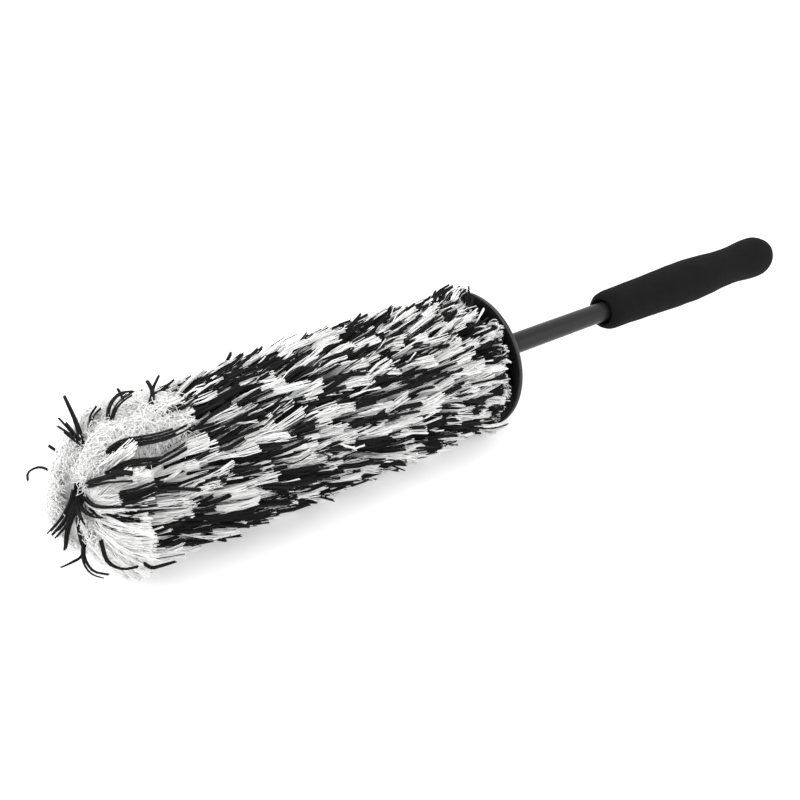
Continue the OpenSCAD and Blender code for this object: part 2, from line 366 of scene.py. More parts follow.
def dress(nodes, material):
    """Gives CAD nodes a material."""
    for name in nodes:
        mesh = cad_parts[name].data
        mesh.materials.clear()
        mesh.materials.append(material)


# The cover's outline -------------------------------------------------------------------------------

CORNER_R = 15.7 * MM
NECK_LENGTH = 34 * MM
NECK_HEIGHT = 12.6 * MM
TIP_DROP = 3.5 * MM


def outline(s):
    """Where the backing's outline lies at a distance s along it from the middle of its closed end.

    It runs out along the flat end, round the corner's quarter circle, and on along the straight side.
    Returns x, r and the outward normal (nx, nr). A negative s stays at the middle."""
    flat = BACKING_R - CORNER_R
    bend = np.clip((s - flat) / CORNER_R, 0, np.pi / 2)
    along = np.maximum(s - flat - CORNER_R * np.pi / 2, 0)
    x = BACKING_END + CORNER_R * (1 - np.cos(bend)) + along
    r = np.clip(s, 0, flat) + CORNER_R * np.sin(bend)
    return x, r, -np.cos(bend), np.sin(bend)


def outline_at(x):
    """The distance along the outline at which its straight side reaches x."""
    return x - BACKING_END - CORNER_R + BACKING_R - CORNER_R + CORNER_R * np.pi / 2


def pile_height(x):
    """Height of the pile above the backing at x: low beside the guard, full along the head, lower at the tip."""
    most, full_from = PILE_R - BACKING_R, PILE_FROM - NECK_LENGTH
    neck = (PILE_FROM - x) / NECK_LENGTH
    taper = (full_from - x) / (full_from - BACKING_END)
    return np.where(neck < 1, ease(NECK_HEIGHT, most, neck), ease(most, most - TIP_DROP, taper))


# Strands -------------------------------------------------------------------------------------------

# Rings of points along a strand of each kind
STRAIGHT = 6
CURLY = 8
LONE = 10
MOST_TRIANGLES = 195000


def prism_mesh(paths, radius, sideways, sides=3):
    """Prisms with a few sides along many paths at once.

    paths is (n, k, 3), radius one number and sideways (n, 3). Each ring stands at right angles to its path's
    local direction, with its points at even angles from the sideways vector. Returns points and faces."""
    n, k, _ = paths.shape
    along = np.empty_like(paths)
    along[:, 1:-1] = paths[:, 2:] - paths[:, :-2]
    along[:, 0] = paths[:, 1] - paths[:, 0]
    along[:, -1] = paths[:, -1] - paths[:, -2]
    along = unit(along)
    across = unit(sideways[:, None] - along * (along * sideways[:, None]).sum(-1, keepdims=True))
    other = np.cross(along, across)
    turn = np.linspace(0, 2 * np.pi, sides, endpoint=False)
    ring = across[:, :, None] * np.cos(turn)[:, None] + other[:, :, None] * np.sin(turn)[:, None]
    points = paths[:, :, None] + ring * radius
    base = (np.arange(n) * k * sides)[:, None, None]
    level = (np.arange(k - 1) * sides)[None, :, None]
    side = np.arange(sides)[None, None]
    a, b = base + level + side, base + level + (side + 1) % sides
    quads = np.stack([a, b, b + sides, a + sides], -1).reshape(-1, 4)
    foot = base[:, 0, :] + np.arange(sides)[None, ::-1]
    head = base[:, 0, :] + (k - 1) * sides + np.arange(sides)[None]
    return points.reshape(-1, 3), [quads, np.concatenate([foot, head])]


class Tufts:
    """Many tufts of one colour, held as arrays of strand paths until they are made into pieces."""

    def __init__(self):
        self.paths, self.sideways, self.tones = [], [], []

    def add(self, paths, sideways, tones):
        """Takes in more strands."""
        self.paths.append(paths)
        self.sideways.append(sideways)
        self.tones.append(tones)

    def make(self, name, slot, material, node, strand_d):
        """Turns the strands into pieces of at most MOST_TRIANGLES each, which stand for a CAD node.

        A strand has 6 triangles between two rings and one at each end. None goes below the floor."""
        paths = np.concatenate(self.paths)
        sideways = np.concatenate(self.sideways)
        tones = np.concatenate(self.tones)
        floor = strand_d / 2
        paths[..., 2] = np.where(paths[..., 2] < floor, floor + (floor - paths[..., 2]) * 0.02, paths[..., 2])
        rings = paths.shape[1]
        pieces = -(-len(paths) * (6 * rings - 4) // MOST_TRIANGLES)
        for i, part in enumerate(np.array_split(np.arange(len(paths)), pieces)):
            points, faces = prism_mesh(paths[part], strand_d / 2, sideways[part])
            obj = new_object(f"{name}_{i + 1}", points, faces, BODY_COVER, material)
            put_attribute(obj, "tone", np.repeat(tones[part], rings * 3))
            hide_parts(node)


def fan_out(rng, lines, width, depth, count, rings, ragged, curl, cross=0.0, bundle=1.6 * MM):
    """Strands of many tufts from the tufts' own centre lines.

    lines holds centre, across and up, each (m, k, 3). A strand keeps one place u across the tuft's width and v
    in its depth, and each is carried out by a width and depth that grow evenly from root to end, so that the tuft
    opens like a fan. Strands gather in bundles, which drift apart by the square of the way and are cut to
    lengths of their own. A short sine wave makes a strand curl, and it crosses the others by up to about cross
    at its end. Returns paths, sideways vectors and tones."""
    m, k, _ = lines[0].shape
    which = np.repeat(np.arange(m), count)
    total = len(which)
    first = np.repeat(np.cumsum(count) - count, count)
    u = (np.arange(total) - first + rng.uniform(0, 1, total)) / np.repeat(count, count) * 2 - 1
    v = rng.uniform(-1, 1, total)
    bundles = np.maximum(np.round(width[1] / bundle), 1).astype(int)
    number = np.minimum(((u + 1) / 2 * bundles[which]).astype(int), bundles[which] - 1)
    middle = (number + 0.5) / bundles[which] * 2 - 1
    mine = (np.cumsum(bundles) - bundles)[which] + number
    drift = rng.normal(size=(2, bundles.sum()))[:, mine]
    cut = rng.uniform(0, 1, bundles.sum())[mine] ** 2
    reach = 1 - ragged[which] * cut - rng.uniform(0, 0.03, total)
    s = reach[:, None] * np.linspace(0, 1, rings)
    place = s * (k - 1)
    low = np.minimum(place.astype(int), k - 2)
    part = (place - low)[..., None]
    rows = which[:, None]

    def at(line):
        return line[rows, low] * (1 - part) + line[rows, low + 1] * part

    def spread(pair):
        return (pair[0][which][:, None] * (1 - s) + pair[1][which][:, None] * s) / 2

    wave = rng.uniform(0, 2 * np.pi, (2, total, 1))
    turns = 2 * np.pi * rng.uniform(0.6, 1.6, (total, 1)) * s
    swing = curl[which][:, None] * np.sqrt(s)
    du = spread(width) * (middle[:, None] + (u - middle)[:, None] * (1 - 0.45 * s))
    du = du + swing * np.sin(turns + wave[0]) + 0.5 * MM * drift[0][:, None] * s ** 2
    du = du + cross * rng.normal(0, 1, (total, 1)) * s
    dv = spread(depth) * v[:, None] + swing * np.sin(turns + wave[1]) + 0.5 * MM * drift[1][:, None] * s ** 2
    paths = at(lines[0]) + at(lines[1]) * du[..., None] + at(lines[2]) * dv[..., None]
    tones = np.clip(0.5 + 0.13 * drift[0] + rng.normal(0, 0.16, total), 0, 1)
    return paths, lines[1][which, 0], tones


def turn_lines(centre, across, up, roll):
    """Centre lines with their flat section rolled about their own direction."""
    c, d = np.cos(roll)[:, None, None], np.sin(roll)[:, None, None]
    return centre, across * c + up * d, up * c - across * d


def combed(s0, theta, run, height, sway, wave, phase, lean, roll):
    """Centre lines of tufts that grow from the backing and lie back towards the guard.

    At t from 0 to 1 a tuft has gone run * t^1.25 along the outline and sway * t^1.5 round it, with one sine
    wave on top, and it stands off by height * ((1 - lean) * (1 - (1 - t)^2.4) + lean * t)."""
    t = np.linspace(0, 1, 9)
    s = s0[:, None] + run[:, None] * t ** 1.25
    rise = (1 - lean[:, None]) * (1 - (1 - t) ** 2.4) + lean[:, None] * t
    h = height[:, None] * rise
    x, r, nx, nr = outline(s)
    aside = sway[:, None] * t ** 1.5 + wave[:, None] * t * np.sin(2 * np.pi * t + phase[:, None])
    angle = theta[:, None] + aside / (r + h + 4 * MM)
    radial, round_way = spokes(angle)
    normal = nx[..., None] * AXIS + nr[..., None] * radial
    centre = x[..., None] * AXIS + r[..., None] * radial + h[..., None] * normal
    return turn_lines(centre + TO_AXIS, round_way, normal, roll)


def fountain(y0, z0, spread, length, first, last, roll):
    """Centre lines that rise off the closed end and fall outwards.

    The direction turns from first to last degrees, measured from straight out along -X towards the sideways
    angle spread in the YZ plane; the line is the running sum of that direction."""
    t = np.linspace(0, 1, 9)
    turn = np.radians(first[:, None] + (last - first)[:, None] * t)
    out = spokes(spread)[0][:, None]
    direction = -np.cos(turn)[..., None] * AXIS + np.sin(turn)[..., None] * out
    step = length[:, None, None] / (len(t) - 1) * (direction[:, 1:] + direction[:, :-1]) / 2
    start = np.stack([outline(np.hypot(y0, z0))[0], y0, z0 + AXIS_Z], -1)[:, None]
    centre = np.concatenate([start, start + np.cumsum(step, 1)], 1)
    across = np.broadcast_to(np.cross(AXIS, out), direction.shape)
    return turn_lines(centre, across, np.cross(direction, across), roll)


def draw_lock(points):
    """One lock's centre line through a few places, in millimetres from the middle of the closed end.

    Between two places it is the cubic that keeps the slopes given by the places on either side."""
    p = np.array(points, float) * MM
    p = np.concatenate([[2 * p[0] - p[1]], p, [2 * p[-1] - p[-2]]])
    t = np.linspace(0, len(points) - 1, 13)
    i = np.minimum(t.astype(int), len(points) - 2)
    f = (t - i)[:, None]
    a, b, c, d = p[i], p[i + 1], p[i + 2], p[i + 3]
    centre = b + (c - a) * f / 2 + (2 * a - 5 * b + 4 * c - d) * f ** 2 / 2 + (3 * b - a - 3 * c + d) * f ** 3 / 2
    centre = centre + np.array([BACKING_END, 0, AXIS_Z])
    along = unit(np.gradient(centre, axis=0))
    across = unit(np.cross(along, np.array([-0.6, -0.7, 0.4])))
    return centre, across, np.cross(along, across)


def fleece_height(s, theta):
    """Height of the fleece above the backing, at a distance s along its outline and an angle theta round it.

    Along the side it is a share of the pile's height. Over the closed end it is low along the seam, swells
    towards the shoulder, and stands highest on the far half, which bulges out beside the seam. The shoulder is
    flat at the top of the far half."""
    x, r, _, _ = outline(s)
    y, z = r * np.cos(theta), r * np.sin(theta)
    bend = (s - BACKING_R + CORNER_R) / CORNER_R
    far = ease(0, 1, (y + MM) / (7 * MM))
    end = ease(1.5 * MM, 6.5 * MM, bend / 1.3) * (1 - far) + ease(7 * MM, 9.5 * MM, bend / 0.7) * far
    end = 0.3 * MM + end * ease(0.0, 1, np.abs(y) / (6 * MM))
    end = end * (1 - 0.5 * ease(0, 1, (np.cos(theta - 0.9) - 0.25) * 2) * ease(0, 1, (r - 4 * MM) / (8 * MM)))
    side = 0.3 * pile_height(x)
    return end + (side - end) * ease(0, 1, (bend - 1.2) / 1.4)


def curls(rng, s, theta, lift, heading, length, curl):
    """Single fibres that lie in loose curls at a height lift above the backing.

    Each runs along its heading, measured from the way to the guard, in a shallow arch, with a helix of radius
    curl round it. Returns paths, sideways vectors and tones."""
    n = len(s)
    t = np.linspace(0, 1, CURLY)
    x, r, nx, nr = outline(s)
    radial, round_way = spokes(theta)
    normal = nx[:, None] * AXIS + nr[:, None] * radial
    tangent = nr[:, None] * AXIS - nx[:, None] * radial
    way = tangent * np.cos(heading)[:, None] + round_way * np.sin(heading)[:, None]
    aside = np.cross(normal, way)
    start = x[:, None] * AXIS + r[:, None] * radial + lift[:, None] * normal + TO_AXIS
    angle = 2 * np.pi * (rng.uniform(0.7, 1.8, (n, 1)) * t + rng.uniform(0, 1, (n, 1)))
    rise = rng.uniform(0.8, 2.4, (n, 1)) * MM * (1 - (2 * t - 1) ** 2) + curl[:, None] * np.sin(angle)
    along = length[:, None] * (t - 0.5)
    across = curl[:, None] * np.cos(angle) + rng.normal(0, 0.25, (n, 1)) * length[:, None] * (2 * t - 1) ** 2
    paths = start[:, None] + way[:, None] * along[..., None] + normal[:, None] * rise[..., None]
    paths = paths + aside[:, None] * across[..., None]
    return paths, normal, rng.uniform(0, 1, n)


# Operators -----------------------------------------------------------------------------------------

class BRUSH_OT_shaft(bpy.types.Operator):
    """Coats the shaft tube in dark satin and plugs its end"""

    bl_idname = "brush.shaft"
    bl_label = "Shaft"

    def execute(self, context):
        handle = context.scene.brush_handle
        coat = surface_material(
            "satin_coating", handle.shaft, 0.12, (0.26, 0.36), 25.0, 1500.0, 0.00003, specular=0.18)
        dress(["shaft_tube"], coat)
        plug = surface_material("black_nylon", (0.02, 0.02, 0.022), 0.2, (0.45, 0.6), 60.0, 1200.0, 0.00008)
        dress(["tube_end_plug", "guard_hub"], plug)
        return {"FINISHED"}


class BRUSH_OT_grip(bpy.types.Operator):
    """Builds the foam grip as one smooth turned surface with soft dents and a deep bore mouth"""

    bl_idname = "brush.grip"
    bl_label = "Foam grip"

    def execute(self, context):
        handle = context.scene.brush_handle
        foam = surface_material(
            "grip_foam", handle.foam, 0.35, (0.72, 0.9), 45.0, 1700.0, 0.00035, mix=0.55, specular=0.08)
        points, faces = self.surface(handle.pit)
        obj = new_object("foam_grip", points, faces, BODY_HANDLE, foam)
        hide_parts("grip_sleeve")
        return {"FINISHED"}

    def surface(self, pit):
        """The outline goes from the bore up round the nose, over swell, waist and bulb, and ends in a dome.

        The stretches are half cosine waves between their ends, and smooth random waves press dents of depth pit
        into it, none at the ends."""
        front_r, swell_r, waist_r, bulb_r = 11.3 * MM, 13.0 * MM, 11.5 * MM, 12.9 * MM
        mouth_r, bore_r, nose, depth = SHAFT_R + 1.8 * MM, SHAFT_R + 0.05 * MM, 8 * MM, 7 * MM
        bulb_at = GRIP_TO - bulb_r - 4 * MM
        bore_end = max(span("shaft_tube", 0)[1], span("tube_end_plug", 0)[1]) + 0.3 * MM
        stations = [
            (GRIP_FROM + nose, front_r), (GRIP_FROM + 81 * MM, swell_r), (bulb_at - 28 * MM, waist_r),
            (bulb_at, bulb_r)]
        lip = np.radians(np.linspace(0, 90, 14))
        rows = [
            np.array([
                [bore_end, 0.02 * MM], [bore_end, bore_r], [GRIP_FROM + depth, bore_r],
                [GRIP_FROM + depth, mouth_r - MM]]),
            np.stack([GRIP_FROM + np.linspace(depth, 0.6 * MM, 8), np.full(8, mouth_r)], -1),
            np.stack([GRIP_FROM + nose * (1 - np.cos(lip)), mouth_r + (front_r - mouth_r) * np.sin(lip)], -1)]
        for (x0, r0), (x1, r1) in zip(stations, stations[1:]):
            t = np.linspace(0, 1, 60)[1:]
            rows.append(np.stack([x0 + (x1 - x0) * t, ease(r0, r1, t)], -1))
        dome = np.radians(np.linspace(0, 90, 24))[1:]
        rows.append(np.stack(
            [bulb_at + (GRIP_TO - bulb_at) * np.sin(dome), np.maximum(bulb_r * np.cos(dome), 0.02 * MM)], -1))
        profile = np.concatenate(rows)
        segments = 128
        waves = Waves(np.random.default_rng(3), (9 * MM, 5 * MM))

        def dents(x, r, a):
            ends = np.clip((x - GRIP_FROM) / (4 * MM), 0, 1) * np.clip((GRIP_TO - x) / (4 * MM), 0, 1)
            outside = r > mouth_r + 0.5 * MM
            return -pit * ends * outside * (1 + waves(x, np.abs(np.sin(a / 2)) * 60 * MM)) / 2

        return turned(profile, segments, dents), closed_faces(len(profile), segments)


class BRUSH_OT_guard(bpy.types.Operator):
    """Finishes the dished guard, the collar behind it and the nose cap in dark rubber with turning marks"""

    bl_idname = "brush.guard"
    bl_label = "Guard"

    def execute(self, context):
        rubber = surface_material(
            "guard_rubber", context.scene.brush_handle.rubber, 0.2, (0.30, 0.42), 40.0, 1400.0, 0.00006)
        self.rings(rubber.node_tree)
        dress(["guard_disc", "guard_collar", "nose_cap"], rubber)
        return {"FINISHED"}

    def rings(self, tree):
        """Fine concentric turning marks about the brush's axis, added to the rubber's grain as a bump."""
        shader = tree.nodes["Principled BSDF"]
        grain = shader.inputs["Normal"].links[0].from_socket
        coords = add_node(tree, "TexCoord")
        place = add_node(tree, "Mapping", Location=(0, 0, -AXIS_Z))
        wave = add_node(tree, "TexWave", Scale=224.0)
        wave.wave_type = "RINGS"
        wave.rings_direction = "X"
        bump = add_node(tree, "Bump", Distance=0.0001)
        wire(
            tree, (coords, "Object", place, "Vector"), (place, "Vector", wave, "Vector"),
            (wave, "Fac", bump, "Height"), (bump, "Normal", shader, "Normal"))
        tree.links.new(grain, bump.inputs["Normal"])


class BRUSH_OT_core(bpy.types.Operator):
    """Builds the foam former and finishes the rod, washer, screw and pin inside the head"""

    bl_idname = "brush.core"
    bl_label = "Head core"

    def execute(self, context):
        steel = surface_material(
            "bright_steel", (0.62, 0.63, 0.65), 0.1, (0.22, 0.38), 80.0, 2200.0, 0.00004, metallic=1.0)
        nylon = surface_material("white_nylon", (0.7, 0.68, 0.62), 0.06, (0.4, 0.55), 50.0, 900.0, 0.00006)
        foam = surface_material("core_foam", (0.05, 0.052, 0.056), 0.45, (0.85, 0.95), 90.0, 1300.0, 0.0007, mix=0.7)
        dress(["cross_pin", "former_washer", "nose_screw"], steel)
        dress(["core_rod"], nylon)
        end, flange = span("foam_former", 0)
        barrel_end = span("guard_hub", 0)[0]
        barrel_r, rod_r = radius("cross_pin") + 0.15 * MM, radius("core_rod") + 0.05 * MM
        edge = 0.6 * MM
        profile = joined([
            (flange, barrel_r), (flange, FORMER_R - edge), (flange - edge, FORMER_R), (end + edge, FORMER_R),
            (end, FORMER_R - edge), (end, rod_r), (barrel_end, rod_r), (barrel_end, barrel_r)], 2 * MM)
        waves = Waves(np.random.default_rng(5), (8 * MM, 6 * MM))

        def dents(x, r, a):
            return -0.3 * MM * (r > FORMER_R - edge) * (1 + waves(x, np.abs(np.sin(a / 2)) * 90 * MM)) / 2

        points = turned(profile, 96, dents)
        obj = new_object("former_foam", points, [grid_faces(len(profile), 96, True)], BODY_HANDLE, foam)
        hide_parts("foam_former")
        return {"FINISHED"}


class BRUSH_OT_backing(bpy.types.Operator):
    """Builds the knitted backing, its gathered hem, the elastic, the end seam and their stitches"""

    bl_idname = "brush.backing"
    bl_label = "Cover backing"

    def execute(self, context):
        knit = surface_material("knit", (0.74, 0.73, 0.70), 0.2, (0.85, 0.95), 250.0, 1300.0, 0.0006, sheen=0.2)
        # Dark tape for the hem; the end seam's fold uses it too, as painted shade for the shadow in the seam's gap.
        tape = surface_material("hem_tape", (0.012, 0.012, 0.013), 0.4, (0.8, 0.92), 300.0, 1700.0, 0.0005, sheen=0.1)
        cord = surface_material("elastic_cord", (0.8, 0.79, 0.75), 0.15, (0.7, 0.85), 300.0, 1800.0, 0.0003)
        thread = surface_material("thread", (0.03, 0.03, 0.032), 0.4, (0.55, 0.75), 600.0, 2400.0, 0.0002)
        self.sock(knit)
        self.hem(tape)
        self.elastic(cord)
        self.hem_stitches(thread)
        self.seam(tape)
        self.seam_stitches(thread)
        return {"FINISHED"}

    def sock(self, knit):
        """The backing: its outer outline from the middle of the end to the mouth, and back along the inside."""
        s = np.linspace(0.02 * MM, outline_at(BACKING_MOUTH), 130)
        x, r, nx, nr = outline(s)
        inner = np.stack([x - BACKING_WALL * nx, r - BACKING_WALL * nr], -1)[::-1]
        inner = inner[inner[:, 1] > 0]
        inner[:, 0] = np.minimum(inner[:, 0], BACKING_MOUTH)
        profile = np.concatenate([np.stack([x, r], -1), inner])
        points = turned(profile, 96)
        obj = new_object("knitted_backing", points, closed_faces(len(profile), 96), BODY_COVER, knit)
        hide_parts("cover_backing")

    def hem(self, tape):
        """The hem's section is a rounded rectangle with a groove for its stitches, gathered in small pleats.

        The pleats are a cosine wave round the hem, as deep as a share of the height above the hem's inside."""
        inner, outer, soft = BACKING_IN_R, HEM_R - 0.3 * MM, 0.9 * MM
        profile = joined([
            (HEM_BACK, inner), (HEM_BACK, outer - soft), (HEM_BACK + soft / 2, outer),
            (HEM_GROOVE - 0.5 * MM, outer), (HEM_GROOVE, outer - 0.6 * MM), (HEM_GROOVE + 0.5 * MM, outer),
            (HEM_FRONT - soft, outer), (HEM_FRONT, outer - soft), (HEM_FRONT, inner), (HEM_BACK, inner)],
            0.5 * MM)[:-1]

        def pleats(x, r, a):
            share = np.clip((r - inner) / (outer - inner), 0, 1) * np.clip((x - HEM_BACK) / (2 * MM), 0.2, 1)
            return 0.3 * MM * share * np.cos(40 * a + 1.5 * np.sin(3 * a))

        points = turned(profile, 320, pleats)
        obj = new_object("hem_tape", points, [grid_faces(len(profile), 320, True)], BODY_COVER, tape)
        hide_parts("hem_binding")

    def elastic(self, cord):
        """A ring of round section, flattened by a slight two-ply twist."""
        low, high = span("hem_elastic", 0)
        middle, thick = (low + high) / 2, (high - low) / 2
        ring_r = radius("hem_elastic") - thick
        a = np.linspace(0, 2 * np.pi, 240, endpoint=False)[None]
        b = np.linspace(0, 2 * np.pi, 16, endpoint=False)[:, None]
        section = thick * (0.93 + 0.07 * np.cos(2 * b + 60 * a))
        x, r = middle + section * np.cos(b), ring_r + section * np.sin(b)
        points = round_axis(x, r, a).reshape(-1, 3)
        obj = new_object("elastic_ring", points, [grid_faces(16, 240, True)], BODY_COVER, cord)
        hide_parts("hem_elastic")

    def hem_stitches(self, thread):
        """Each stitch is a short arc in the groove round the hem, whose ends dip into the tape."""
        count, t = 32, np.linspace(-1, 1, 9)
        a = np.arange(count)[:, None] * 2 * np.pi / count + t * 0.32 * 2 * np.pi / count
        r = HEM_R - 0.62 * MM - 0.55 * MM * t ** 4
        paths = round_axis(HEM_GROOVE + 0 * a, r, a)
        points, faces = prism_mesh(paths, THREAD_R, np.tile(AXIS, (count, 1)), sides=8)
        obj = new_object("hem_stitches", points, faces, BODY_COVER, thread)
        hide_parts("hem_stitching")

    def seam(self, tape):
        """Two folded edges side by side along the closed end, following its rounded corner.

        The section is a loop with two humps, carried along Z at the backing's outline. It is made in the hem's dark
        tape as painted shade: the dark fold stands in for the shadow in the gap where the cover's two halves part."""
        low, high = span("end_seam", 2)
        half = (high - low) / 2
        z = np.linspace(-half, half, 60)[:, None]
        b = np.linspace(0, 2 * np.pi, 28, endpoint=False)[None]
        ends = np.sqrt(np.clip(1 - (z / half) ** 8, 0.02, 1))
        y = 1.15 * MM * np.cos(b) * ends
        top = 1.1 * MM + 0.9 * MM * np.abs(np.cos(b)) ** 0.7 + 0.1 * MM * np.sin(z / (1.1 * MM))
        h = np.where(np.sin(b) > 0, top * np.abs(np.sin(b)) ** 0.35 * ends, -0.3 * MM * np.abs(np.sin(b)))
        points = np.stack([outline(np.abs(z))[0] - h, y + 0 * z, AXIS_Z + z + 0 * b], -1).reshape(-1, 3)
        # Painted shade: the fold takes the dark tape so that it shows the shadow in the seam's parting gap.
        obj = new_object("seam_fold", points, closed_faces(60, 28), BODY_COVER, tape)
        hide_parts("end_seam")

    def seam_stitches(self, thread):
        """Each stitch is an arch over the seam's folded edges."""
        count, t = 7, np.linspace(0, np.pi, 9)
        z = (np.arange(count)[:, None] - (count - 1) / 2) * 24 * MM / count + 0 * t
        x = outline(np.abs(z))[0] - 0.4 * MM - 1.9 * MM * np.sin(t) ** 0.6
        paths = np.stack([x, 1.35 * MM * np.cos(t) + 0 * z, AXIS_Z + z], -1)
        points, faces = prism_mesh(paths, THREAD_R, np.tile([0, 0, 1.0], (count, 1)), sides=8)
        obj = new_object("seam_stitches", points, faces, BODY_COVER, thread)
        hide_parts("seam_stitching")


# Locks that stand out singly round the end seam: width at root and tip, then places along them, all in millimetres
LONE_LOCKS = (
    (3.2, 1.2, (3, 1, 15), (3, 2, 24), (3, 5, 32), (2, 9, 41)),
    (2.6, 1.6, (1, 0, 11), (4, 0, 19), (1, 4, 25), (-4, 9, 31)),
    (1.8, 1.4, (3, 0, 16), (2, 4, 25), (-2, 9, 34)),
    (1.6, 1.2, (3, 9, 13), (-2, 14, 16), (-4, 18, 18)),
    (1.0, 0.9, (-3, 16, 4), (-4, 22, 5), (-6, 27, 5), (-9, 31, 2), (-9, 33, -4)),
    (3.4, 2.8, (-2, -1, 5), (-3, -5, 11), (-2, -11, 13), (-1, -27, 22), (7, -32, 22)),
    (1.6, 1.6, (7, -31, 23), (2, -30, 25), (-2, -21, 19), (-2, -11, 14)),
    (4.0, 4.0, (6, -11, 20), (6, -17, 26), (10, -21, 30), (17, -24, 30), (27, -24, 29), (37, -23, 30)),
    (4.2, 3.6, (-3, -3, 7), (-6, -4, 2), (-9, -1, -5), (-15, 3, -13)),
    (2.6, 2.2, (-3, -4, 5), (-6, -5, 1), (-9, -3, -8), (-11, -3, -17)),
    (1.6, 1.2, (-3, -4, 3), (-6, -6, -4), (-7, -9, -9), (-7, -11, -13)),
    (1.8, 1.6, (-2, -3, 6), (-4, -16, 8), (-5, -29, 13), (0, -37, 15)),
    (1.6, 1.4, (-3, -4, 4), (-5, -9, 3), (-6, -19, 5), (-6, -29, 9)),
    (1.8, 1.5, (-3, -3, 4), (-6, -8, 2), (-7, -18, 0)),
    (1.0, 0.9, (-5, -8, -10), (-8, -10, -16), (-12, -10, -17), (-17, -10, -17)),
    (1.6, 1.4, (-5, -8, -10), (-8, -11, -16), (-8, -17, -20), (-4, -23, -21)),
    (1.4, 1.2, (-6, -26, -2), (-8, -34, -6), (-3, -34, -12), (4, -33, -15)),
    (1.4, 1.2, (5, -27, -12), (8, -32, -17), (13, -32, -19), (23, -30, -22)),
    (2.8, 1.2, (28, -3, 26), (31, -2, 33), (34, 3, 35), (33, 8, 40)),
    (1.4, 1.0, (32, 1, 29), (36, 6, 34), (41, 8, 39)),
    (1.2, 1.0, (21, 3, 26), (24, 8, 33), (23, 10, 39)),
    (1.6, 1.6, (12, -4, 28), (15, -4, 35), (19, -2, 37), (26, 0, 38)),
    (1.4, 1.4, (12, -3, 28), (15, 1, 34), (20, 2, 38), (26, 1, 38)),
    (1.2, 1.6, (7, 2, 25), (9, 4, 31), (13, 5, 34)),
    (3.0, 3.0, (2, -20, 19), (7, -27, 25), (13, -29, 25), (20, -30, 24)),
    (5.5, 5.5, (3, -28, 13), (7, -34, 16), (17, -35, 17)))


